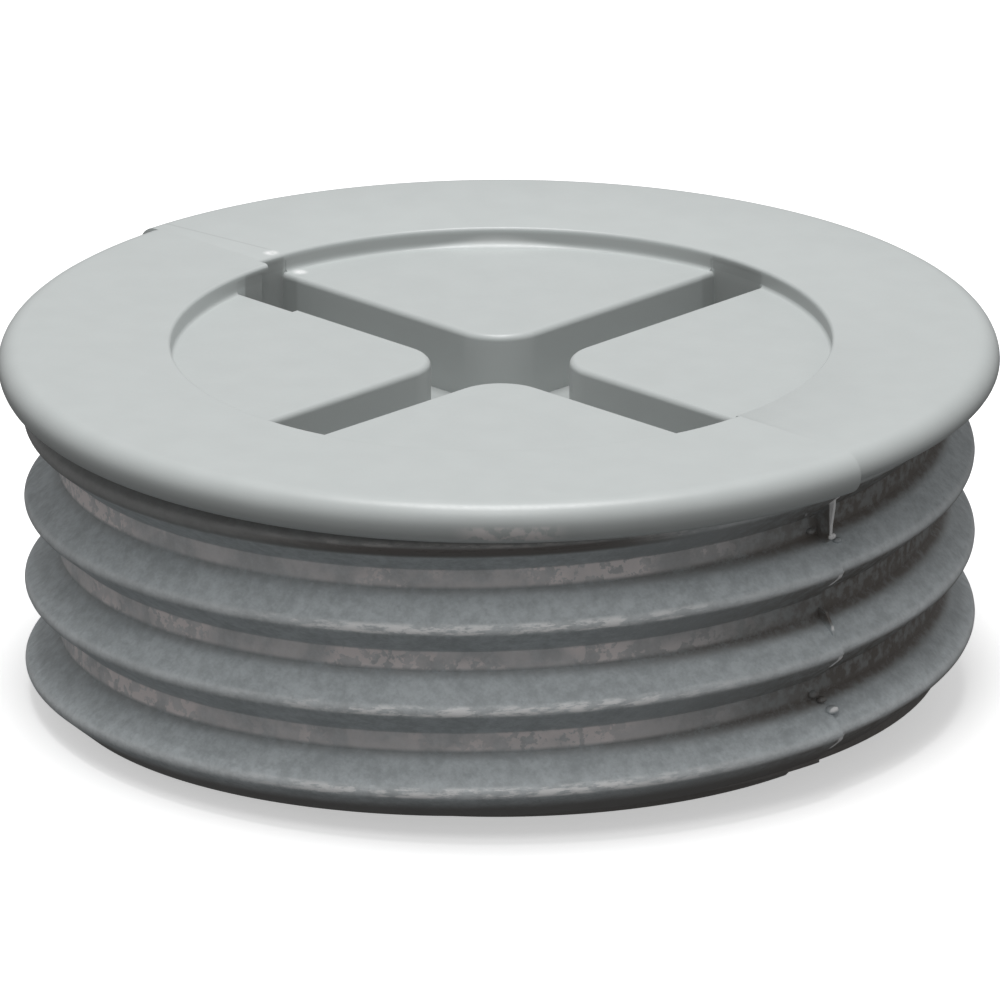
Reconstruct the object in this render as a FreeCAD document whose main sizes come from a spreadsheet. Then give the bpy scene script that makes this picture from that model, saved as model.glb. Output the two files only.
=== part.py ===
import FreeCAD, Part
import Sketcher
import math
import os

Vector = FreeCAD.Vector

# Driving dimensions in millimetres and degrees, one cell each.
# The plug stands on its open lower end at z = 0, with its axis on Z and its flange on top.
# The X axis lies along one arm of the cross slot, in the parting plane of the mould.
SIZES = [
    ("thread_major", 15.2),        # across the thread crests
    ("thread_pitch", 1.411),       # 18 turns to the inch
    ("thread_angle", 80),          # between the two flanks of a ridge
    ("crest_radius", 0.15),        # rounding of the ridge's crest
    ("root_width", 0.33),          # bare core between two ridges
    ("thread_length", 5.115),      # from the open end up to the flange
    ("thread_phase", 0.944),       # crest of the lowest whole turn above the open end, at +X
    ("thread_chamfer", 0.4),       # 45 degree break at the open end
    ("pilot_step", 0.64),          # plain pilot at the open end, inside the thread root on the radius
    ("pilot_length", 0.19),
    ("flange_overhang", 0.4),      # flange rim outside the thread crests, on the radius
    ("flange_thickness", 0.7),     # also the width of its half-round rim
    ("flange_land", 2.75),         # flat ring between the flange rim and the recess
    ("recess_depth", 0.325),
    ("recess_foot", 0.1),          # eased corner at the foot of the recess wall
    ("recess_brim", 0.04),         # broken edge round the recess
    ("slot_width", 1.06),
    ("slot_depth", 1.1),           # below the recess floor
    ("slot_corner", 0.85),         # rounding of the four pads at the crossing, in plan
    ("end_wall", 1.41),            # thickness of the open end, inside the thread root
    ("end_edge", 0.12),            # broken edges of the open end
    ("hollow_draft", 1.5),         # taper of the hollow's wall
    ("hollow_foot", 0.4),          # eased corner between the hollow's wall and its ceiling
    ("top_wall", 1.0),             # under the recess floor
    ("slot_wall", 0.75),           # beside and under the cross slot
    ("trough_corner", 0.5),        # rounding of the trough's four inner corners
]

# An eased edge takes at most this share of the wall that it sits on.
EDGE_SHARE = 0.4

doc = FreeCAD.newDocument("closure_plug")
sheet = doc.addObject("Spreadsheet::Sheet", "sizes")
for row, (alias, size) in enumerate(SIZES, start=1):
    sheet.set(f"A{row}", alias)
    sheet.set(f"B{row}", str(size))
    sheet.setAlias(f"B{row}", alias)
doc.recompute()

# Ridge section: two straight flanks and a crest, on a core that shows between ridges.
# The crest follows its rounding in three equal flats, each turned from the next by twice CREST_TURN.
FLANK_TILT = "(sizes.thread_angle / 2)"
CREST_TURN = f"((90 - {FLANK_TILT}) / 4)"
HALF_ROOT = "((sizes.thread_pitch - sizes.root_width) / 2)"
SHARP_TIP = f"({HALF_ROOT} / tan({FLANK_TILT}))"
TIP_LOSS = f"(sizes.crest_radius * (1 / sin({FLANK_TILT}) - 1))"
THREAD_DEPTH = f"({SHARP_TIP} - {TIP_LOSS})"

# Radii and heights that follow from the driving dimensions.
CREST_R = "(sizes.thread_major / 2)"
ROOT_R = f"({CREST_R} - {THREAD_DEPTH})"
PILOT_R = f"({ROOT_R} - sizes.pilot_step)"
MOUTH_R = f"({ROOT_R} - sizes.end_wall)"
FLANGE_R = f"({CREST_R} + sizes.flange_overhang)"
RECESS_R = f"({FLANGE_R} - sizes.flange_land)"
SEAT_Z = "sizes.thread_length"
TOP_Z = f"({SEAT_Z} + sizes.flange_thickness)"
RIM_R = f"({FLANGE_R} - sizes.flange_thickness / 2)"
FLOOR_Z = f"({TOP_Z} - sizes.recess_depth)"
CEILING_Z = f"({FLOOR_Z} - sizes.top_wall)"
CEILING_R = f"({MOUTH_R} - {CEILING_Z} * tan(sizes.hollow_draft))"
TROUGH_Z = f"({FLOOR_Z} - sizes.slot_depth - sizes.slot_wall)"
SLOT_HALF = "(sizes.slot_width / 2)"
TROUGH_HALF = f"({SLOT_HALF} + sizes.slot_wall)"

# Cutters and the raw ridge pass the stock by one pitch.
PAST = "sizes.thread_pitch"

# Two points nearer than this are the same point.
NEAR = 1e-4


def value(expression):
    return float(sheet.evalExpression(expression))


def at_most(size, *walls):
    """Expression for an eased edge that its walls can carry."""
    limits = "; ".join(f"{EDGE_SHARE} * ({wall})" for wall in walls)
    return f"min({size}; {limits})"


def new_sketch(body, name, role, height="0"):
    plane = next(item for item in body.Origin.OriginFeatures if item.Role == role)
    sketch = body.newObject("Sketcher::SketchObject", name)
    sketch.AttachmentSupport = [(plane, "")]
    sketch.MapMode = "FlatFace"
    sketch.setExpression("AttachmentOffset.Base.z", height)
    return sketch


def tie(sketch, constraint, expression):
    """Add a dimension to a sketch and bind it to the sheet."""
    number = sketch.addConstraint(constraint)
    sketch.setExpression(f"Constraints[{number}]", expression)


def tie_point(sketch, line, end, x, y):
    """Bind both coordinates of one end of a line."""
    tie(sketch, Sketcher.Constraint("DistanceX", -1, 1, line, end, value(x)), x)
    tie(sketch, Sketcher.Constraint("DistanceY", -1, 1, line, end, value(y)), y)


def join(sketch, first, second):
    """Let one curve of a sketch start where another ends."""
    sketch.addConstraint(Sketcher.Constraint("Coincident", first, 2, second, 1))


def add_outline(sketch, corners, round_side=None):
    """Closed outline, its corners given as pairs of expressions.

    Its sides are straight, but for one that may be an upright half round.
    """
    points = [Vector(value(x), value(y), 0) for x, y in corners]
    sides = []
    for number, (start, end) in enumerate(zip(points, points[1:] + points[:1])):
        curve = Part.LineSegment(start, end)
        if number == round_side:
            curve = Part.Arc(start, (start + end) / 2 + Vector((end - start).Length / 2, 0, 0), end)
        sides.append(sketch.addGeometry(curve))
    for side, following, (x, y) in zip(sides, sides[1:] + sides[:1], corners):
        join(sketch, side, following)
        tie_point(sketch, side, 1, x, y)
    if round_side is not None:
        x = corners[round_side][0]
        tie(sketch, Sketcher.Constraint("DistanceX", -1, 1, sides[round_side], 3, value(x)), x)


def turned(body, kind, name, sketch):
    """Revolution or Groove of a half section about the plug's axis."""
    feature = body.newObject(f"PartDesign::{kind}", name)
    feature.Profile = sketch
    feature.ReferenceAxis = (sketch, ["V_Axis"])
    feature.Angle = 360
    doc.recompute()
    return feature


def straight(body, kind, name, sketch, length):
    """Pad or Pocket of a plan."""
    feature = body.newObject(f"PartDesign::{kind}", name)
    feature.Profile = sketch
    feature.setExpression("Length", length)
    doc.recompute()
    return feature


def eased(body, kind, name, base, edges, size):
    """Fillet or Chamfer on some edges of a feature."""
    feature = body.newObject(f"PartDesign::{kind}", name)
    feature.Base = (base, [f"Edge{number}" for number in edges])
    feature.setExpression({"Fillet": "Radius", "Chamfer": "Size"}[kind], size)
    doc.recompute()
    return feature


def circles(feature, radius, height):
    """Numbers of the circular edges with this radius at this height."""
    found = []
    for number, edge in enumerate(feature.Shape.Edges, start=1):
        if not isinstance(edge.Curve, Part.Circle):
            continue
        off_radius = abs(edge.Curve.Radius - value(radius))
        off_height = abs(edge.Curve.Center.z - value(height))
        if max(off_radius, off_height) < NEAR:
            found.append(number)
    return found


def upright_corners(feature, half):
    """Numbers of the upright edges at the four inner corners of a cross."""
    found = []
    for number, edge in enumerate(feature.Shape.Edges, start=1):
        reaches = [abs(reach) for vertex in edge.Vertexes for reach in (vertex.X, vertex.Y)]
        if all(abs(reach - value(half)) < NEAR for reach in reaches):
            found.append(number)
    return found


def crest_corner(turns, height):
    """Corner of the crest's flats, this many turns above its middle."""
    reach = f"sizes.crest_radius / cos({CREST_TURN})"
    x = f"{CREST_R} - sizes.crest_radius + {reach} * cos({turns} * {CREST_TURN})"
    return x, f"{height} + {reach} * sin({turns} * {CREST_TURN})"


def add_cross(sketch, half, reach):
    """Cross of four arms along the axes, each ending in an arc about the origin."""
    spread = math.asin(value(half) / value(reach))
    ring = Part.Circle(Vector(), Vector(0, 0, 1), value(reach))
    ends = []
    for quarter in range(4):
        middle = quarter * math.pi / 2
        ends.append(sketch.addGeometry(Part.ArcOfCircle(ring, middle - spread, middle + spread)))
        sketch.addConstraint(Sketcher.Constraint("Coincident", ends[-1], 3, -1, 1))
    tie(sketch, Sketcher.Constraint("Radius", ends[0], value(reach)), reach)
    for end in ends[1:]:
        sketch.addConstraint(Sketcher.Constraint("Equal", ends[0], end))
    quadrants = [(1, 1), (-1, 1), (-1, -1), (1, -1)]
    directions = ["Horizontal", "Vertical"]
    for quarter, (sign_x, sign_y) in enumerate(quadrants):
        end, next_end = ends[quarter], ends[(quarter + 1) % 4]
        inner = Vector(sign_x * value(half), sign_y * value(half), 0)
        inward = sketch.addGeometry(Part.LineSegment(sketch.getPoint(end, 2), inner))
        outward = sketch.addGeometry(Part.LineSegment(inner, sketch.getPoint(next_end, 1)))
        sketch.addConstraint(Sketcher.Constraint(directions[quarter % 2], inward))
        sketch.addConstraint(Sketcher.Constraint(directions[1 - quarter % 2], outward))
        join(sketch, end, inward)
        join(sketch, inward, outward)
        join(sketch, outward, next_end)
        tie_point(sketch, inward, 2, f"{sign_x} * {half}", f"{sign_y} * {half}")


# Thread: the ridge section carried round a right-hand helix, from the parting line at -X up past the seat.
# Its ends are then cut off: inside the flange above, and level with the open end below.
thread = doc.addObject("PartDesign::Body", "thread")
RIDGE_START = "(sizes.thread_phase - sizes.thread_pitch / 2)"
RIDGE_BASE = f"({PILOT_R} - {THREAD_DEPTH} / 4)"
ridge_section = new_sketch(thread, "ridge_section", "XZ_Plane")
ridge_corners = [
    (RIDGE_BASE, f"{RIDGE_START} - {HALF_ROOT}"),
    (ROOT_R, f"{RIDGE_START} - {HALF_ROOT}"),
    crest_corner(-3, RIDGE_START),
    crest_corner(-1, RIDGE_START),
    crest_corner(1, RIDGE_START),
    crest_corner(3, RIDGE_START),
    (ROOT_R, f"{RIDGE_START} + {HALF_ROOT}"),
    (RIDGE_BASE, f"{RIDGE_START} + {HALF_ROOT}"),
]
add_outline(ridge_section, [(f"-({x})", y) for x, y in ridge_corners])
ridge = thread.newObject("PartDesign::AdditiveHelix", "thread_ridge")
ridge.Profile = ridge_section
ridge.ReferenceAxis = (ridge_section, ["V_Axis"])
ridge.Mode = "pitch-height-angle"
ridge.LeftHanded = False
ridge.setExpression("Pitch", "sizes.thread_pitch")
ridge.setExpression("Height", f"{SEAT_Z} + {PAST} - {RIDGE_START}")
doc.recompute()
RIDGE_TOP = f"({SEAT_Z} + sizes.flange_thickness / 2)"
trim_section = new_sketch(thread, "trim_section", "XZ_Plane")
add_outline(trim_section, [
    (MOUTH_R, f"{RIDGE_START} - {PAST}"),
    (FLANGE_R, f"{RIDGE_START} - {PAST}"),
    (FLANGE_R, "sizes.thread_chamfer + sizes.flange_overhang"),
    (f"{CREST_R} - sizes.thread_chamfer", "0"),
    (MOUTH_R, "0"),
])
add_outline(trim_section, [
    (MOUTH_R, RIDGE_TOP),
    (FLANGE_R, RIDGE_TOP),
    (FLANGE_R, f"{RIDGE_TOP} + 2 * {PAST}"),
    (MOUTH_R, f"{RIDGE_TOP} + 2 * {PAST}"),
])
turned(thread, "Groove", "thread_trim", trim_section)

# Plug without its thread: the pilot, the core at the thread's root and the thin flange with its round rim.
plug = doc.addObject("PartDesign::Body", "plug_body")
plug.Label = "plug_body"
plug.Placement = FreeCAD.Placement()
plug_section = new_sketch(plug, "plug_section", "XZ_Plane")
add_outline(plug_section, [
    ("0", "0"),
    (PILOT_R, "0"),
    (PILOT_R, "sizes.pilot_length"),
    (ROOT_R, "sizes.pilot_length"),
    (ROOT_R, SEAT_Z),
    (RIM_R, SEAT_Z),
    (RIM_R, TOP_Z),
    ("0", TOP_Z),
], round_side=5)
turned(plug, "Revolution", "blank", plug_section)

# Hollow underside, tapered so that it leaves the mould's core.
hollow_section = new_sketch(plug, "hollow_section", "XZ_Plane")
add_outline(hollow_section, [
    ("0", f"-{PAST}"),
    (f"{MOUTH_R} + {PAST} * tan(sizes.hollow_draft)", f"-{PAST}"),
    (CEILING_R, CEILING_Z),
    ("0", CEILING_Z),
])
hollow = turned(plug, "Groove", "hollow", hollow_section)
eased(plug, "Chamfer", "hollow_ceiling", hollow, circles(hollow, CEILING_R, CEILING_Z), "sizes.hollow_foot")

# Trough that hangs in the hollow and carries the walls and the floor of the cross slot.
trough_plan = new_sketch(plug, "trough_plan", "XY_Plane", TROUGH_Z)
add_cross(trough_plan, TROUGH_HALF, f"(({CEILING_R} + {ROOT_R}) / 2)")
trough_height = f"{CEILING_Z} - {TROUGH_Z} + sizes.top_wall / 2"
trough = straight(plug, "Pad", "slot_trough", trough_plan, trough_height)
trough_edges = upright_corners(trough, TROUGH_HALF)
eased(plug, "Fillet", "trough_corners", trough, trough_edges, "sizes.trough_corner")

# Round recess in the top, with an eased foot and a broken brim.
recess_plan = new_sketch(plug, "recess_plan", "XY_Plane", TOP_Z)
recess_ring = recess_plan.addGeometry(Part.Circle(Vector(), Vector(0, 0, 1), value(RECESS_R)))
recess_plan.addConstraint(Sketcher.Constraint("Coincident", recess_ring, 3, -1, 1))
tie(recess_plan, Sketcher.Constraint("Radius", recess_ring, value(RECESS_R)), RECESS_R)
recess = straight(plug, "Pocket", "recess", recess_plan, "sizes.recess_depth")
foot_size = at_most("sizes.recess_foot", "sizes.recess_depth")
recess = eased(plug, "Chamfer", "recess_floor", recess, circles(recess, RECESS_R, FLOOR_Z), foot_size)
brim_size = at_most("sizes.recess_brim", "sizes.recess_depth")
eased(plug, "Chamfer", "recess_edge", recess, circles(recess, RECESS_R, TOP_Z), brim_size)

# Cross slot in the recess floor, its arms ending flush with the recess wall.
slot_plan = new_sketch(plug, "slot_plan", "XY_Plane", TOP_Z)
add_cross(slot_plan, SLOT_HALF, RECESS_R)
slot_cut = "sizes.recess_depth + sizes.slot_depth"
slot = straight(plug, "Pocket", "cross_slot", slot_plan, slot_cut)
slot = eased(plug, "Fillet", "slot_corners", slot, upright_corners(slot, SLOT_HALF), "sizes.slot_corner")

# Both edges of the open end are broken.
end_edges = circles(slot, PILOT_R, "0") + circles(slot, MOUTH_R, "0")
end_size = at_most("sizes.end_edge", "sizes.end_wall - sizes.pilot_step", "sizes.pilot_length")
eased(plug, "Chamfer", "open_end", slot, end_edges, end_size)

# The thread becomes one with the plug.
threaded = plug.newObject("PartDesign::Boolean", "threaded")
threaded.Type = "Fuse"
threaded.setObjects([thread])
doc.recompute()

failed = [item.Name for item in doc.Objects if {"Invalid", "Error"} & set(item.State)]
if failed:
    raise RuntimeError(f"not built: {failed}")
if plug.Shape.isNull() or not plug.Shape.isValid() or len(plug.Shape.Solids) != 1:
    raise RuntimeError("the plug is not one valid solid")

os.makedirs("parts", exist_ok=True)
plug.Shape.exportStep(f"parts/{plug.Label}.step")
print(plug.Label, "thread depth", round(value(THREAD_DEPTH), 3), "volume", round(plug.Shape.Volume, 1))
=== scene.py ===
import bpy
import math
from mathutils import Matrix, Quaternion, Vector


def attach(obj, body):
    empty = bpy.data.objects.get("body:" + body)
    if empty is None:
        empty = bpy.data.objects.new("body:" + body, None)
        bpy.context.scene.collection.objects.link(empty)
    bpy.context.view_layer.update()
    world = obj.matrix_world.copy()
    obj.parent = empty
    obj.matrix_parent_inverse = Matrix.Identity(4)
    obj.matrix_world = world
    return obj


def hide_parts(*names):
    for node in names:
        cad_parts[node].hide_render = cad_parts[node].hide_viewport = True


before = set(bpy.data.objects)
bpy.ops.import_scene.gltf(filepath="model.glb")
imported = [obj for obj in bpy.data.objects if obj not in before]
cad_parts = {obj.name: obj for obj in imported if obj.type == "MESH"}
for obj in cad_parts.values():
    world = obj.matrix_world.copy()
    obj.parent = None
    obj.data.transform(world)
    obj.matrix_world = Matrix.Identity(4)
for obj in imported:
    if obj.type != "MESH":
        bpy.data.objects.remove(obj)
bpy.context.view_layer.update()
print("frame loaded:", sorted(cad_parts))

mm = 0.001      # the plug is modelled in millimetres and brought to metres at the end
fullTurn = 2 * math.pi


# helpers for working with one object at a time

def activate(piece):
    if bpy.context.mode != "OBJECT":
        bpy.ops.object.mode_set(mode="OBJECT")
    bpy.ops.object.select_all(action="DESELECT")
    piece.select_set(True)
    bpy.context.view_layer.objects.active = piece


def editAll(piece):
    activate(piece)
    bpy.ops.object.mode_set(mode="EDIT")
    bpy.ops.mesh.select_mode(type="VERT")
    bpy.ops.mesh.select_all(action="SELECT")


def tidyMesh(piece, near=1e-4):
    editAll(piece)
    bpy.ops.mesh.remove_doubles(threshold=near)
    bpy.ops.mesh.normals_make_consistent(inside=False)
    bpy.ops.object.mode_set(mode="OBJECT")


def pick(piece, kind, test):      # select the vertices, edges or faces that pass a test
    activate(piece)
    bpy.ops.object.mode_set(mode="EDIT")
    bpy.ops.mesh.select_mode(type={"vertices": "VERT", "edges": "EDGE", "polygons": "FACE"}[kind])
    bpy.ops.mesh.select_all(action="DESELECT")
    bpy.ops.object.mode_set(mode="OBJECT")
    count = 0
    for item in getattr(piece.data, kind):
        item.select = bool(test(item))
        count += item.select
    bpy.ops.object.mode_set(mode="EDIT")
    return count


def combine(target, tool, operation):
    activate(target)
    change = target.modifiers.new("combine", "BOOLEAN")
    change.operation = operation
    change.solver = "EXACT"
    change.object = tool
    bpy.ops.object.modifier_apply(modifier=change.name)
    bpy.data.objects.remove(tool)


def softened(corners, segments=6):      # corners as (radius, height, rounding)
    points = []
    for index, (x, z, rounding) in enumerate(corners):
        here = Vector((x, z))
        if rounding == 0:
            points.append(here)
            continue
        before = (Vector(corners[index - 1][:2]) - here).normalized()
        after = (Vector(corners[index + 1][:2]) - here).normalized()
        half = before.angle(after) / 2
        centre = here + (before + after).normalized() * rounding / math.sin(half)
        start = here + before * rounding / math.tan(half) - centre
        end = here + after * rounding / math.tan(half) - centre
        sweep = math.atan2(start.x * end.y - start.y * end.x, start.dot(end))
        for step in range(segments + 1):
            c, s = math.cos(sweep * step / segments), math.sin(sweep * step / segments)
            points.append(centre + Vector((start.x * c - start.y * s, start.x * s + start.y * c)))
    return points


def drawSection(name, points):      # a single point, extruded along the section in the XZ plane
    bpy.ops.object.select_all(action="DESELECT")
    bpy.ops.mesh.primitive_plane_add(size=1)
    piece = bpy.context.object
    piece.name = name
    editAll(piece)
    bpy.ops.mesh.merge(type="CENTER")
    bpy.ops.transform.translate(value=(points[0].x, 0, points[0].y))
    for here, there in zip(points, points[1:]):
        step = there - here
        bpy.ops.mesh.extrude_region_move(TRANSFORM_OT_translate={"value": (step.x, 0, step.y)})
    return piece


def spinSection(name, points, steps):      # turned solid, both open ends closed by one face
    piece = drawSection(name, points)
    bpy.ops.mesh.select_all(action="SELECT")
    bpy.ops.mesh.spin(steps=steps, angle=fullTurn, center=(0, 0, 0), axis=(0, 0, 1))
    bpy.ops.mesh.select_all(action="SELECT")
    bpy.ops.mesh.remove_doubles(threshold=1e-4)
    for height in (points[0].y, points[-1].y):
        edge = points[0].x if height == points[0].y else points[-1].x
        pick(piece, "edges", lambda e: all(
            abs(piece.data.vertices[v].co.z - height) < 1e-4
            and abs(piece.data.vertices[v].co.xy.length - edge) < 1e-3 for v in e.vertices))
        bpy.ops.mesh.edge_face_add()
    tidyMesh(piece)
    return piece


def crossPrism(name, half, reach, corner, bottom, top, ease):      # four arms, lower edges eased
    bpy.ops.object.select_all(action="DESELECT")
    bpy.ops.mesh.primitive_plane_add(size=2 * half, location=(0, 0, bottom))
    piece = bpy.context.object
    piece.name = name
    bpy.ops.object.transform_apply(location=True, rotation=False, scale=False)
    for x, y in ((1, 0), (-1, 0), (0, 1), (0, -1)):
        side = Vector((x, y, 0))
        pick(piece, "edges", lambda e: all(
            abs(piece.data.vertices[v].co.dot(side) - half) < 1e-5
            and piece.data.vertices[v].co.xy.length < 2 * half for v in e.vertices))
        bpy.ops.mesh.extrude_region_move(TRANSFORM_OT_translate={"value": side * (reach - half)})
    bpy.ops.mesh.select_all(action="SELECT")
    bpy.ops.mesh.dissolve_faces()
    pick(piece, "vertices", lambda v: abs(abs(v.co.x) - half) < 1e-5 and abs(abs(v.co.y) - half) < 1e-5)
    bpy.ops.mesh.bevel(affect="VERTICES", offset=corner, segments=12, clamp_overlap=False)
    bpy.ops.mesh.select_all(action="SELECT")
    bpy.ops.mesh.extrude_region_move(TRANSFORM_OT_translate={"value": (0, 0, top - bottom)})
    tidyMesh(piece)
    pick(piece, "edges", lambda e: all(
        abs(piece.data.vertices[v].co.z - bottom) < 1e-5 for v in e.vertices))
    bpy.ops.mesh.bevel(offset=ease, segments=3, clamp_overlap=False)
    tidyMesh(piece)
    return piece


# camera: a long lens, because the photo shows almost no perspective

cameraSettings = {
    "azimuth": 45.0,            # looks along the bisector of two slot arms
    "elevation": 19.5,
    "roll": -0.25,              # the photo leans a little, its right side up
    "aim": 3.11,                # height of the point in the middle of the picture
    "aside": -0.01,             # the plug's axis stands this far right of the middle
    "frameWidth": 15.95,
    "lens": 1500.0,
    "sensor": 36.0,
}


def addCamera(s):
    azimuth, elevation = math.radians(s["azimuth"]), math.radians(s["elevation"])
    right = Vector((math.cos(azimuth), math.sin(azimuth), 0))
    back = Vector((math.sin(azimuth) * math.cos(elevation), -math.cos(azimuth) * math.cos(elevation),
                   math.sin(elevation)))
    distance = s["frameWidth"] * s["lens"] / s["sensor"]
    bpy.ops.object.select_all(action="DESELECT")
    bpy.ops.object.camera_add()
    camera = bpy.context.object
    camera.data.lens = s["lens"]
    camera.data.sensor_width = s["sensor"]
    camera.data.clip_start = 0.1 * distance * mm
    camera.data.clip_end = 10 * distance * mm
    camera.location = (Vector((0, 0, s["aim"])) + s["aside"] * right + distance * back) * mm
    camera.rotation_mode = "QUATERNION"
    upright = (-back).to_track_quat("-Z", "Y")
    camera.rotation_quaternion = upright @ Quaternion((0, 0, 1), math.radians(s["roll"]))
    bpy.context.scene.camera = camera


addCamera(cameraSettings)
print("camera placed")


# shank: a core with a plain pilot at the open end, and the thread's ridge wound round it

threadSettings = {
    "crestRadius": 7.6,
    "pitch": 1.37,              # as the photo shows it
    "flankTilt": 40.0,          # each flank against the plane across the axis
    "crestRound": 0.15,
    "rootWidth": 0.33,
    "sink": 0.03,               # the flanks run on this far into the core
    "crestAtX": 1.026,          # height of the lowest whole crest on the X axis
    "turns": 4.5,               # from the parting plane at -X up into the flange
    "steps": 240,               # to each turn
    "startBreak": 0.4,          # 45 degree break at the open end
    "pilotRadius": 6.4,
    "pilotLength": 0.42,
    "pilotEase": 0.17,
    "top": 5.32,                # ends inside the flange
    "buried": 0.15,             # the ridge's back lies this far inside the pilot
    "spare": 0.2,               # room outside the crests in the solid that trims them
    "cap": 3.0,                 # radius of the flat caps that close the turned solids
}


def addRidge(s, rootRadius, sharp):
    foot = (s["pitch"] - s["rootWidth"]) / 2 * (1 + s["sink"] / sharp)
    base = s["pilotRadius"] - s["buried"]
    middle = s["crestAtX"] - s["pitch"] / 2
    section = softened([
        (-base, middle - foot, 0),
        (s["sink"] - rootRadius, middle - foot, 0),
        (-rootRadius - sharp, middle, s["crestRound"]),
        (s["sink"] - rootRadius, middle + foot, 0),
        (-base, middle + foot, 0),
    ])
    ridge = drawSection("ridge", section)
    bpy.ops.mesh.select_all(action="SELECT")
    bpy.ops.mesh.edge_face_add()
    bpy.ops.mesh.delete(type="ONLY_FACE")      # leaves the closed outline
    activate(ridge)
    screw = ridge.modifiers.new("turns", "SCREW")
    screw.axis = "Z"
    screw.angle = fullTurn * s["turns"]
    screw.screw_offset = s["pitch"] * s["turns"]
    screw.steps = screw.render_steps = round(s["steps"] * s["turns"])
    bpy.ops.object.modifier_apply(modifier=screw.name)
    editAll(ridge)
    bpy.ops.mesh.fill_holes(sides=0)
    tidyMesh(ridge)
    return ridge


def addShank(s):
    tilt = math.radians(s["flankTilt"])
    sharp = (s["pitch"] - s["rootWidth"]) / 2 / math.tan(tilt)
    rootRadius = s["crestRadius"] - sharp + s["crestRound"] * (1 / math.sin(tilt) - 1)
    ridge = addRidge(s, rootRadius, sharp)
    envelope = spinSection("envelope", softened([
        (s["cap"], 0, 0),
        (s["crestRadius"] - s["startBreak"], 0, 0.05),
        (s["crestRadius"] + s["spare"], s["startBreak"] + s["spare"], 0),
        (s["crestRadius"] + s["spare"], s["top"], 0),
        (s["cap"], s["top"], 0),
    ], 3), s["steps"])
    combine(ridge, envelope, "INTERSECT")
    core = spinSection("shank", softened([
        (s["cap"], 0, 0),
        (s["pilotRadius"], 0, s["pilotEase"]),
        (s["pilotRadius"], s["pilotLength"], 0),
        (rootRadius, s["pilotLength"], 0.02),
        (rootRadius, s["top"], 0),
        (s["cap"], s["top"], 0),
    ], 3), s["steps"])
    combine(core, ridge, "UNION")
    return core


shank = addShank(threadSettings)
print("shank cut to length:", len(shank.data.polygons), "faces")


# flange: thin disc with a half-round rim

flangeSettings = {
    "radius": 8.0,
    "seat": 5.115,
    "top": 5.815,
    "hub": 4.3,                 # reaches down into the shank
    "hubRadius": 6.2,
    "cap": 5.0,
    "steps": 256,
}


def addFlange(s):
    rim = (s["top"] - s["seat"]) / 2
    return spinSection("flange", softened([
        (s["hubRadius"], s["hub"], 0),
        (s["hubRadius"], s["seat"], 0),
        (s["radius"], s["seat"], rim),
        (s["radius"], s["top"], rim),
        (s["cap"], s["top"], 0),
    ], 10), s["steps"])


combine(shank, addFlange(flangeSettings), "UNION")
plug = shank
plug.name = "grey_plug"
print("flange joined:", len(plug.data.polygons), "faces")


# mould mismatch: the half behind the parting plane stood a little aside, and its rim is thinner

partingSettings = {
    "shift": (-0.11, 0.03, -0.003),
    "wider": 1.003,
    "overlap": 0.06,
    "rimInside": 7.63,
    "rimThinner": 0.6,
}


def keepHalf(piece, side, overlap, shift=(0, 0, 0)):      # side 1 keeps the front, -1 what is behind
    editAll(piece)
    bpy.ops.mesh.bisect(plane_co=(0, side * overlap, 0), plane_no=(0, side, 0),
                        clear_outer=True, use_fill=True)
    bpy.ops.mesh.select_all(action="SELECT")
    bpy.ops.transform.translate(value=shift)
    bpy.ops.object.mode_set(mode="OBJECT")


def partHalves(piece, s, f):
    activate(piece)
    bpy.ops.object.duplicate()
    behind = bpy.context.object
    middle = (f["seat"] + f["top"]) / 2
    pick(behind, "vertices", lambda v: v.co.xy.length > s["rimInside"]
         and f["seat"] - 0.01 < v.co.z < middle)
    bpy.ops.transform.resize(value=(1, 1, s["rimThinner"]), center_override=(0, 0, middle))
    bpy.ops.mesh.select_all(action="SELECT")
    bpy.ops.transform.resize(value=(s["wider"], s["wider"], 1), center_override=(0, 0, 0))
    keepHalf(piece, 1, s["overlap"])
    keepHalf(behind, -1, s["overlap"], s["shift"])
    combine(piece, behind, "UNION")


partHalves(plug, partingSettings, flangeSettings)
print("halves of the mould shown:", len(plug.data.polygons), "faces")


# flash: thin webs and burrs that the mould left along the parting plane at +X

flashSettings = {
    "thickness": 0.05,
    "webs": [      # angle in degrees, outline as radius and height
        (0.0, [(6.8, 5.3), (7.46, 5.3), (7.46, 5.0), (7.44, 4.8), (7.38, 4.5), (7.37, 4.36),
               (7.3, 4.2), (6.8, 4.1)]),
        (0.3, [(6.9, 3.1), (7.22, 3.0), (7.36, 2.78), (7.41, 2.6), (6.9, 2.5)]),
        (-3.6, [(6.9, 5.02), (7.32, 5.02), (7.27, 4.74), (6.9, 4.7)]),
    ],
    "burrStretch": (1, 1.3, 0.8),
    "burrs": [      # place and radius
        ((7.33, 0.06, 4.3), 0.07),
        ((7.09, 0.2, 4.22), 0.06),
        ((7.19, 0.34, 4.13), 0.06),
        ((7.1, -0.16, 4.38), 0.06),
        ((7.08, -0.1, 1.62), 0.08),
        ((7.16, 0.02, 1.52), 0.07),
        ((7.3, 0.1, 1.36), 0.1),
    ],
}


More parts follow.
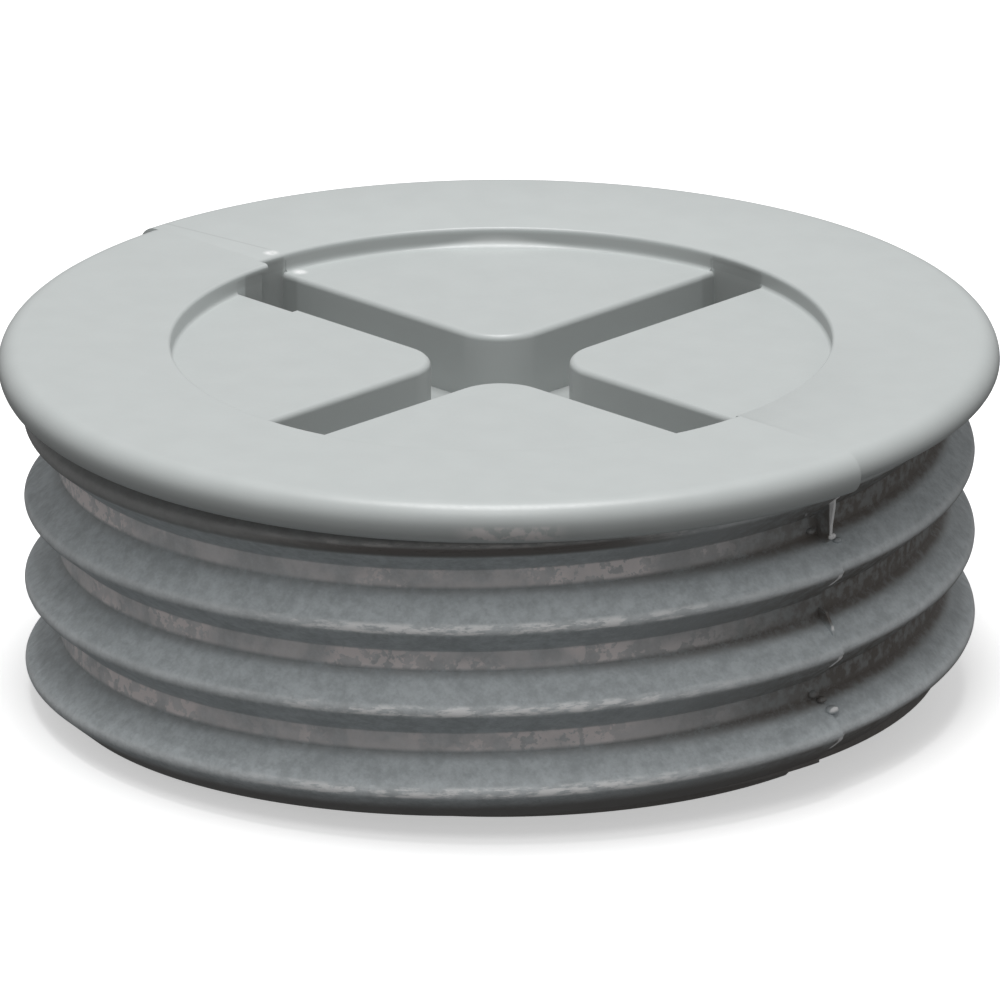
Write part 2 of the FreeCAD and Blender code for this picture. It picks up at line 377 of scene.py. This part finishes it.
def addFlash(piece, s):
    for angle, outline in s["webs"]:
        web = drawSection("web", [Vector(corner) for corner in outline])
        bpy.ops.mesh.select_all(action="SELECT")
        bpy.ops.mesh.edge_face_add()
        bpy.ops.mesh.extrude_region_move(TRANSFORM_OT_translate={"value": (0, s["thickness"], 0)})
        tidyMesh(web)
        web.rotation_euler.z = math.radians(angle)
        bpy.ops.object.transform_apply(location=False, rotation=True, scale=False)
        combine(piece, web, "UNION")
    for place, radius in s["burrs"]:
        bpy.ops.object.select_all(action="DESELECT")
        bpy.ops.mesh.primitive_ico_sphere_add(subdivisions=2, radius=radius, location=place)
        burr = bpy.context.object
        burr.scale = s["burrStretch"]
        bpy.ops.object.transform_apply(location=True, rotation=False, scale=True)
        combine(piece, burr, "UNION")


addFlash(plug, flashSettings)
print("flash added:", len(plug.data.polygons), "faces")


# hollow underside with the trough that carries the slot

hollowSettings = {
    "mouthRadius": 5.629,
    "mouthEase": 0.12,
    "ceilingRadius": 5.511,
    "ceiling": 4.49,
    "ceilingRound": 0.4,
    "troughHalf": 1.28,
    "troughCorner": 0.5,
    "troughBottom": 3.64,
    "troughEase": 0.15,
    "troughReach": 6.3,
    "troughRoot": 0.5,          # the trough's tool goes this far into the ceiling
    "below": 1.0,               # the core's tool starts this far under the open end
    "cap": 2.0,
    "steps": 192,
}


def cutHollow(piece, s):
    core = spinSection("core", softened([
        (s["cap"], -s["below"], 0),
        (s["mouthRadius"] + s["mouthEase"] + s["below"], -s["below"], 0),
        (s["mouthRadius"], s["mouthEase"], 0.04),
        (s["ceilingRadius"], s["ceiling"], s["ceilingRound"]),
        (s["cap"], s["ceiling"], 0),
    ], 8), s["steps"])
    trough = crossPrism("trough", s["troughHalf"], s["troughReach"], s["troughCorner"],
                        s["troughBottom"], s["ceiling"] + s["troughRoot"], s["troughEase"])
    combine(core, trough, "DIFFERENCE")
    combine(piece, core, "DIFFERENCE")


cutHollow(plug, hollowSettings)
print("hollow cut:", len(plug.data.polygons), "faces")


# recess in the top: wider behind the parting plane, where its foot swells in the middle

recessSettings = {
    "floor": 5.5,
    "frontRadius": 5.25,
    "behindRadius": 5.34,
    "behindShift": (-0.12, 0.06, -0.002),
    "brimRound": 0.06,
    "footRound": 0.06,
    "overlap": 0.05,            # of the two halves, at another plane than the mould's own step
    "steps": 256,
    "swellAt": 135.0,
    "swellWidth": 8.0,
    "swell": 2.8,
    "frontBrim": (-0.001, 0.075, 0.0),      # end of the rounding above the top, reach, slope
    "behindBrim": (0.002, 0.5, 0.01),
    "toolHeight": 0.5,
}


def swellFoot(tool, s, radius):
    corner = s["footRound"]
    for step in range(s["steps"]):
        angle = fullTurn * step / s["steps"]
        away = (math.degrees(angle) - s["swellAt"]) / s["swellWidth"]
        grow = 1 + s["swell"] * math.exp(-away * away)
        if grow < 1.01:
            continue
        spoke = Vector((math.cos(angle), math.sin(angle)))
        pick(tool, "vertices", lambda v: radius - corner - 1e-3 < v.co.xy.dot(spoke) < radius + 1e-3
             and v.co.z < s["floor"] + corner + 1e-3
             and (v.co.xy - v.co.xy.dot(spoke) * spoke).length < 1e-3)
        hinge = (spoke.x * radius, spoke.y * radius, s["floor"])
        bpy.ops.transform.resize(value=(grow, grow, grow), center_override=hinge)
    activate(tool)


def cutRecess(piece, s, f):
    for side, radius, shift, brim in ((1, s["frontRadius"], (0, 0, 0), s["frontBrim"]),
                                      (-1, s["behindRadius"], s["behindShift"], s["behindBrim"])):
        above, reach, slope = brim
        top = f["top"] + above
        tool = spinSection("recess", softened([
            (radius - (2 + s["swell"]) * s["footRound"], s["floor"], 0),
            (radius, s["floor"], s["footRound"]),
            (radius, top, s["brimRound"]),
            (radius + reach, top + slope, 0),
            (radius + reach, top + s["toolHeight"], 0),
        ], 8), s["steps"])
        swellFoot(tool, s, radius)
        keepHalf(tool, side, s["overlap"], shift)
        combine(piece, tool, "DIFFERENCE")


cutRecess(plug, recessSettings, flangeSettings)
print("recess cut:", len(plug.data.polygons), "faces")


# cross slot in the recess floor: what four pads with rounded edges leave open

slotSettings = {
    "half": 0.53,
    "corner": 0.85,
    "bottom": 4.39,
    "padEase": 0.11,
    "notch": ((-5.9, -0.64), (-4.05, -0.4)),      # one pad is chipped beside the slot's end
    "notchDepth": 0.55,
    "notchSpare": 0.8,          # the chip's tool goes on this far above the floor
    "reach": 6.6,
    "crossSpare": 1.0,
    "crossEase": 0.05,
    "padRadius": 6.0,
    "padSpare": 0.5,
    "hair": 0.001,              # floor, slot tool and pads end a hair apart, so no two share a plane
    "bite": 0.005,              # the slot's ends cut this far into the recess wall
    "lift": 0.2,                # and reach this far above the floor
    "steps": 256,
}


def addDisc(name, radius, low, high, steps):
    bpy.ops.object.select_all(action="DESELECT")
    bpy.ops.mesh.primitive_cylinder_add(vertices=steps, radius=radius, depth=high - low,
                                        location=(0, 0, (low + high) / 2))
    disc = bpy.context.object
    disc.name = name
    bpy.ops.object.transform_apply(location=True, rotation=False, scale=False)
    return disc


def addPads(s, floor):      # a disc parted by the cross, its upper edges rounded
    cross = crossPrism("cross", s["half"], s["reach"], s["corner"], s["bottom"] - s["crossSpare"],
                       floor + s["crossSpare"], s["crossEase"])
    low, high = (Vector(corner) for corner in s["notch"])
    middle, span = (low + high) / 2, high - low
    height = floor + (s["notchSpare"] - s["notchDepth"]) / 2
    bpy.ops.object.select_all(action="DESELECT")
    bpy.ops.mesh.primitive_cube_add(size=1, location=(middle.x, middle.y, height))
    notch = bpy.context.object
    notch.scale = (span.x, span.y, s["notchDepth"] + s["notchSpare"])
    bpy.ops.object.transform_apply(location=True, rotation=False, scale=True)
    combine(cross, notch, "UNION")
    level = floor + 2 * s["hair"]
    pads = addDisc("pads", s["padRadius"], s["bottom"] - s["padSpare"], level, s["steps"])
    combine(pads, cross, "DIFFERENCE")
    tidyMesh(pads)
    spots = pads.data.vertices
    pick(pads, "edges", lambda e: all(abs(spots[v].co.z - level) < 1e-4 for v in e.vertices)
         and any(spots[v].co.xy.length < s["padRadius"] - 0.01 for v in e.vertices))
    bpy.ops.mesh.bevel(offset=s["padEase"], segments=5, clamp_overlap=False)
    tidyMesh(pads)
    return pads


def cutSlot(piece, s, r):
    pads = addPads(s, r["floor"])
    lid = r["floor"] + s["hair"]
    radius = r["frontRadius"] + s["bite"]
    wider = (r["behindRadius"] + s["bite"]) / radius
    slot = addDisc("slot", radius, s["bottom"], lid, s["steps"])
    pick(slot, "vertices", lambda v: v.co.y > -1e-4)
    bpy.ops.transform.resize(value=(wider, wider, 1), center_override=(0, 0, 0))
    bpy.ops.transform.translate(value=(r["behindShift"][0], r["behindShift"][1], 0))
    combine(slot, pads, "DIFFERENCE")
    tidyMesh(slot)
    pick(slot, "polygons", lambda p: abs(p.center.z - lid) < 1e-4 and p.normal.z > 0.99)
    bpy.ops.mesh.extrude_region_move(TRANSFORM_OT_translate={"value": (0, 0, s["lift"])})
    tidyMesh(slot)
    combine(piece, slot, "DIFFERENCE")
    tidyMesh(piece)


cutSlot(plug, slotSettings, recessSettings)
print("slot cut:", len(plug.data.polygons), "faces")


# finish of the mesh: to metres, smooth between sharp edges

def finishMesh(piece, sharpAngle):
    editAll(piece)
    bpy.ops.transform.resize(value=(mm, mm, mm), center_override=(0, 0, 0))
    activate(piece)
    bpy.ops.object.shade_smooth_by_angle(angle=math.radians(sharpAngle))
    flatten = piece.modifiers.new("flatten", "WEIGHTED_NORMAL")
    flatten.keep_sharp = True
    bpy.ops.object.modifier_apply(modifier=flatten.name)


finishMesh(plug, 32)
print("mesh finished")


# plastic: one moulded grey, smooth on top, mottled and worn on the thread, with painted shade, shadow
# and highlights

class Flow:      # one output of a node tree, so that masks read as sums
    def __init__(self, tree, socket=None):
        self.tree = tree
        self.socket = socket

    def node(self, kind, settings, sockets, output=0):
        made = self.tree.nodes.new(kind)
        for name, setting in settings.items():
            setattr(made, name, setting)
        for name, value in sockets.items():
            if isinstance(value, Flow):
                self.tree.links.new(value.socket, made.inputs[name])
            else:
                made.inputs[name].default_value = value
        return Flow(self.tree, made.outputs[output])

    def math(self, operation, first, second=0.0):
        return self.node("ShaderNodeMath", {"operation": operation}, {0: first, 1: second})

    def __add__(self, other):
        return self.math("ADD", self, other)

    __radd__ = __add__

    def __sub__(self, other):
        return self.math("SUBTRACT", self, other)

    def __rsub__(self, other):
        return self.math("SUBTRACT", other, self)

    def __mul__(self, other):
        return self.math("MULTIPLY", self, other)

    __rmul__ = __mul__

    def __truediv__(self, other):
        return self.math("DIVIDE", self, other)

    def rise(self, low, high):      # 0 below low, 1 above high, smooth between
        return self.node("ShaderNodeMapRange", {"interpolation_type": "SMOOTHSTEP"},
                         {"Value": self, "From Min": low, "From Max": high})

    def band(self, low, high, soft):
        return self.rise(low - soft, low + soft) * (1 - self.rise(high - soft, high + soft))

    def noise(self, scale, detail, roughness=0.5):
        return self.node("ShaderNodeTexNoise", {},
                         {"Vector": self, "Scale": scale, "Detail": detail, "Roughness": roughness})

    def stretch(self, factors):
        return self.node("ShaderNodeVectorMath", {"operation": "MULTIPLY"}, {0: self, 1: factors})

    def across(self, other):      # length of the two as sides of a right angle
        return self.math("SQRT", self * self + other * other)

    def tint(self, under, over):      # this mask lays one colour over another
        return self.node("ShaderNodeMix", {"data_type": "RGBA"}, {0: self, 6: under, 7: over}, 2)


plasticSettings = {
    "colour": (0.56, 0.59, 0.585, 1),
    "cloudDepth": 0.96,
    "wall": (0.42, 0.44, 0.435, 1),         # painted shade on the walls of the recess and the slot
    "shade": (0.33, 0.345, 0.34, 1),        # the wall at the slot's ends and on the right
    "threadColour": (0.6, 0.645, 0.665, 1),
    "threadDark": (0.42, 0.455, 0.47, 1),
    # dark brown for grime and painted shade in the roots and grooves, and painted shadow under the
    # flange
    "grimeAndShade": (0.17, 0.152, 0.138, 1),
    "gap": (0.17, 0.158, 0.15, 1),          # painted shadow close under the flange and at the foot
    "chalk": (0.95, 0.88, 0.87, 1),
    # white for rubbed crests and for painted highlights on crests, flash and pad corners
    "wearAndGlint": (1.0, 1.0, 1.0, 1),
    "roughness": 0.36,
    "threadRoughness": 0.55,
    "wornRoughness": 0.2,
    "grainScale": 17.0,         # to the millimetre
    "middlingScale": 5.5,
    "coarseScale": 1.6,
    "grainDepth": 0.01,         # millimetres
    "girth": 47.0,              # length of a turn of the thread
    # parts of a turn, 0 at +X and -0.25 at -Y
    "frontTurn": (-0.2, -0.06),
    "rightTurn": (-0.12, 0.03),
    "hiddenTurn": (0.2, 0.45),
    "veilTurn": (-0.37, -0.05),
    "gapTurn": (-0.09, -0.05),
    "scuffTurn": (-0.136, -0.108),
    # phases of the thread, 0 on the crest and 0.5 in the root
    "rootPhase": (0.34, 0.43),
    "groovePhase": (0.3, 0.97),
    "veilPhase": (0.41, 0.63),
    "flashPhase": (0.24, 0.97),
    # windings from the lowest whole crest at +X
    "gapWind": (2.86, 2.93),
    "gapEnd": (3.0, 3.04),
    "footWind": (-0.28, -0.08),
    # places in millimetres
    "veilLow": (0.5, 0.7),
    "veilHigh": (4.9, 5.0),
    "flashY": (-0.03, 0.18),
    "flashX": (7.34, 7.37),
    "scuffHeight": (5.22, 5.47),
    "scuffRadius": (7.6, 7.7),
    "hairSlope": 0.1285,
    "hairBand": (1.26, 1.3),
    "hairEnd": (-5.9, -5.6),
    "inside": (5.9, 6.1),
    "wallRadius": (5.18, 5.24),
    "shadeRadius": (5.1, 5.2),
    "slotEdge": (0.5, 0.58),
    "paintedGlints": ((-5.62, 0.44), (-5.26, 0.74)),      # painted highlights beside the slot's end at -X
    "paintedGlintSize": 0.16,
}


def threadColour(s, t, place, noises):
    x, y, z, radius, turn = place
    fine, middling, coarse = noises
    wind = (z - t["crestAtX"]) / t["pitch"] - turn      # whole numbers on the crests
    phase = wind.math("FRACT", wind)                    # upper flank, root, then lower flank
    unrolled = wind.node("ShaderNodeCombineXYZ", {},
                         {"X": turn * s["girth"], "Y": wind * t["pitch"], "Z": radius * 0.2})
    front = turn.band(*s["frontTurn"], 0.04)
    # grey, cloudy, with fine specks
    cloud = (fine - 0.5) * 0.9 + (middling - 0.5) * 1.3 + (coarse - 0.5) * 0.9 + 0.5
    colour = cloud.rise(0.0, 1.0).tint(s["threadDark"], s["threadColour"])
    # grime and painted shade in the roots, painted shade heavy on the right
    right = turn.rise(*s["rightTurn"]) * (1 - turn.rise(*s["hiddenTurn"]))
    grimeAndShade = phase.band(*s["rootPhase"], 0.04) * (0.35 + 0.65 * right) * (coarse + fine).rise(0.7, 1.1)
    colour = grimeAndShade.tint(colour, s["grimeAndShade"])
    # painted shade over the whole groove on the right
    groove = phase.band(*s["groovePhase"], 0.05) * right * (0.6 + 0.4 * middling.rise(0.35, 0.6))
    colour = groove.tint(colour, s["grimeAndShade"])
    # chalky scuffs: a thin veil along the root, flakes in patches
    patches = unrolled.stretch((0.4, 0.7, 1)).noise(1.0, 2).rise(0.42, 0.54)
    flakes = unrolled.noise(4.6, 4, 0.6).rise(0.47, 0.53)
    veil = phase.band(*s["veilPhase"], 0.03) * turn.band(*s["veilTurn"], 0.04)
    veil = veil * (1 - z.rise(*s["veilHigh"])) * z.rise(*s["veilLow"])
    chalky = veil * (0.3 + 0.25 * coarse.rise(0.4, 0.6) + 0.6 * patches * flakes)
    colour = chalky.tint(colour, s["chalk"])
    # crests: a pale line, partly wear and partly painted highlight, with painted highlights in dashes
    # at the front
    crest = 1 - phase.rise(0.04, 0.1) + phase.rise(0.94, 0.98)
    dashes = unrolled.stretch((1, 4, 1)).noise(2.4, 4, 0.65).rise(0.45, 0.58)
    wearAndGlint = crest * (0.2 + 0.8 * front * dashes)
    colour = wearAndGlint.tint(colour, s["wearAndGlint"])
    # painted shadow under the flange and at the foot, painted highlight on the flash along the parting
    # line
    gap = wind.rise(*s["gapWind"]) * (1 - turn.rise(*s["gapTurn"]))
    colour = (gap * 0.6).tint(colour, s["grimeAndShade"])
    colour = (gap * front * (1 - wind.rise(*s["gapEnd"]))).tint(colour, s["gap"])
    foot = 1 - wind.rise(*s["footWind"])
    colour = (foot * 0.85).tint(colour, s["gap"])
    # painted highlight on the flash web's edge along the parting line
    flashHighlight = y.band(*s["flashY"], 0.02) * x.rise(*s["flashX"]) * phase.band(*s["flashPhase"], 0.02)
    return flashHighlight.tint(colour, s["wearAndGlint"]), wearAndGlint


def topColour(s, f, r, place, noises):
    x, y, z, radius, turn = place
    fine, middling, coarse = noises
    floor, top = r["floor"], f["top"]
    cloudy = ((coarse - 0.5) * 1.4 + 0.5).rise(0.0, 1.0)
    grey = cloudy.tint(tuple(s["cloudDepth"] * part for part in s["colour"][:3]) + (1,), s["colour"])
    # painted shade along a hairline step behind the slot's end at -X
    hairline = (y - x * s["hairSlope"]).band(*s["hairBand"], 0.012)
    hairline = hairline * (1 - x.rise(*s["hairEnd"])) * z.rise(5.6, 5.7)
    grey = (hairline * 0.5).tint(grey, s["wall"])
    # painted shade on the walls and deep in the slot, weaker on the left
    sideways = (x + y) * math.sqrt(0.5)
    inside = 1 - radius.rise(*s["inside"])
    deep = 1 - z.rise(floor - 0.12, floor - 0.04)
    wall = 0.65 * deep + radius.rise(*s["wallRadius"]) * z.band(floor + 0.08, top - 0.08, 0.04)
    grey = (inside * wall * (0.3 + 0.7 * sideways.rise(-5.2, -3.4))).tint(grey, s["wall"])
    # the wall lies in shade at the slot's ends and on the right
    ends = 2 - x.math("ABSOLUTE", x).rise(*s["slotEdge"]) - y.math("ABSOLUTE", y).rise(*s["slotEdge"])
    aside = sideways.rise(-4.4, -3.2) * (0.4 + 0.6 * sideways.rise(2.2, 4.0))
    aside = aside * z.rise(floor + 0.03, floor + 0.07)
    shade = inside * radius.rise(*s["shadeRadius"]) * (1 - z.rise(top - 0.1, top - 0.03))
    grey = (shade * (0.75 * ends + 0.6 * aside).rise(0, 1)).tint(grey, s["shade"])
    # painted highlights on the pad corners beside the slot's end
    for paintedGlintX, paintedGlintY in s["paintedGlints"]:
        paintedGlint = 1 - (x - paintedGlintX).across(y - paintedGlintY).rise(0.0, s["paintedGlintSize"])
        grey = (paintedGlint * middling.rise(0.2, 0.5) * z.rise(5.4, 5.45)).tint(grey, s["wearAndGlint"])
    # one scuff on the rim
    scuff = turn.band(*s["scuffTurn"], 0.006) * z.band(*s["scuffHeight"], 0.04)
    scuff = scuff * radius.rise(*s["scuffRadius"]) * middling.rise(0.4, 0.55)
    return (scuff * 0.6).tint(grey, s["chalk"])


def makePlastic(s, t, f, r):
    plastic = bpy.data.materials.new("plug_plastic")
    plastic.use_nodes = True
    shader = plastic.node_tree.nodes["Principled BSDF"]
    tree = Flow(plastic.node_tree)
    spot = tree.node("ShaderNodeTexCoord", {}, {}, "Object").stretch((1 / mm, 1 / mm, 1 / mm))
    x, y, z = (tree.node("ShaderNodeSeparateXYZ", {}, {0: spot}, axis) for axis in "XYZ")
    radius = x.across(y)
    turn = tree.math("ARCTAN2", y, x) / fullTurn
    place = (x, y, z, radius, turn)
    fine = spot.noise(s["grainScale"], 3, 0.6)
    middling = spot.noise(s["middlingScale"], 3, 0.55)
    coarse = spot.noise(s["coarseScale"], 3, 0.5)
    noises = (fine, middling, coarse)
    onThread = radius.rise(*s["inside"]) * (1 - z.rise(f["seat"] - 0.05, f["seat"] + 0.02))
    below, wearAndGlint = threadColour(s, t, place, noises)
    colour = onThread.tint(topColour(s, f, r, place, noises), below)
    gloss = s["roughness"] + onThread * (s["threadRoughness"] - s["roughness"]) + (fine - 0.5) * 0.2
    gloss = gloss - wearAndGlint * onThread * (s["threadRoughness"] - s["wornRoughness"])
    grain = fine * (0.1 + 0.7 * onThread) + middling * 0.9 * onThread
    bump = tree.node("ShaderNodeBump", {},
                     {"Strength": 1.0, "Distance": s["grainDepth"] * mm, "Height": grain})
    for name, flow in (("Base Color", colour), ("Roughness", gloss), ("Normal", bump)):
        plastic.node_tree.links.new(flow.socket, shader.inputs[name])
    return plastic


plug.data.materials.clear()
plug.data.materials.append(makePlastic(plasticSettings, threadSettings, flangeSettings, recessSettings))
print("plastic made")

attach(plug, "root")
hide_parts("plug_body")


# studio: a lit white table, soft light from all sides, two lamps above

studioSettings = {
    "floorSize": 0.8,
    "floorColour": (0.95, 0.95, 0.95, 1),
    "floorRoughness": 0.9,
    "floorGlow": 0.5,           # a lit table, which keeps the shadow soft
    "floorDrop": 0.02,          # millimetres under the plug
    "fillAbove": 0.31,
    "fillBelow": 0.1,
    "keyHeight": 0.14,
    "keySize": 0.06,
    "keyPower": 0.126,
    "frontDistance": 0.16,
    "frontTurn": -48.0,
    "frontRise": 58.0,
    "frontSize": 0.05,
    "frontPower": 0.036,
}


def addStudio(s):
    bpy.ops.object.select_all(action="DESELECT")
    bpy.ops.mesh.primitive_plane_add(size=s["floorSize"], location=(0, 0, -s["floorDrop"] * mm))
    floor = bpy.context.object
    floor.name = "floor"
    paper = bpy.data.materials.new("paper")
    paper.use_nodes = True
    shader = paper.node_tree.nodes["Principled BSDF"]
    shader.inputs["Base Color"].default_value = s["floorColour"]
    shader.inputs["Roughness"].default_value = s["floorRoughness"]
    shader.inputs["Emission Color"].default_value = s["floorColour"]
    shader.inputs["Emission Strength"].default_value = s["floorGlow"]
    floor.data.materials.append(paper)
    floor.visible_diffuse = False
    floor.visible_glossy = False
    world = bpy.data.worlds.new("studio")
    world.use_nodes = True
    sky = Flow(world.node_tree)
    way = sky.node("ShaderNodeTexCoord", {}, {}, "Generated")
    up = sky.node("ShaderNodeSeparateXYZ", {}, {0: way}, "Z")
    fill = s["fillBelow"] + up.rise(-0.5, 0.2) * (s["fillAbove"] - s["fillBelow"])
    background = world.node_tree.nodes["Background"]
    background.inputs["Color"].default_value = (1, 1, 1, 1)
    world.node_tree.links.new(fill.socket, background.inputs["Strength"])
    bpy.context.scene.world = world
    around, above = math.radians(s["frontTurn"]), math.radians(s["frontRise"])
    front = Vector((math.cos(around) * math.cos(above), math.sin(around) * math.cos(above),
                    math.sin(above)))
    for place, size, power in ((Vector((0, 0, s["keyHeight"])), s["keySize"], s["keyPower"]),
                               (front * s["frontDistance"], s["frontSize"], s["frontPower"])):
        bpy.ops.object.light_add(type="AREA", location=place,
                                 rotation=place.to_track_quat("Z", "Y").to_euler())
        lamp = bpy.context.object
        lamp.data.size = size
        lamp.data.energy = power
    bpy.context.scene.view_settings.view_transform = "Standard"


addStudio(studioSettings)
print("studio lit")
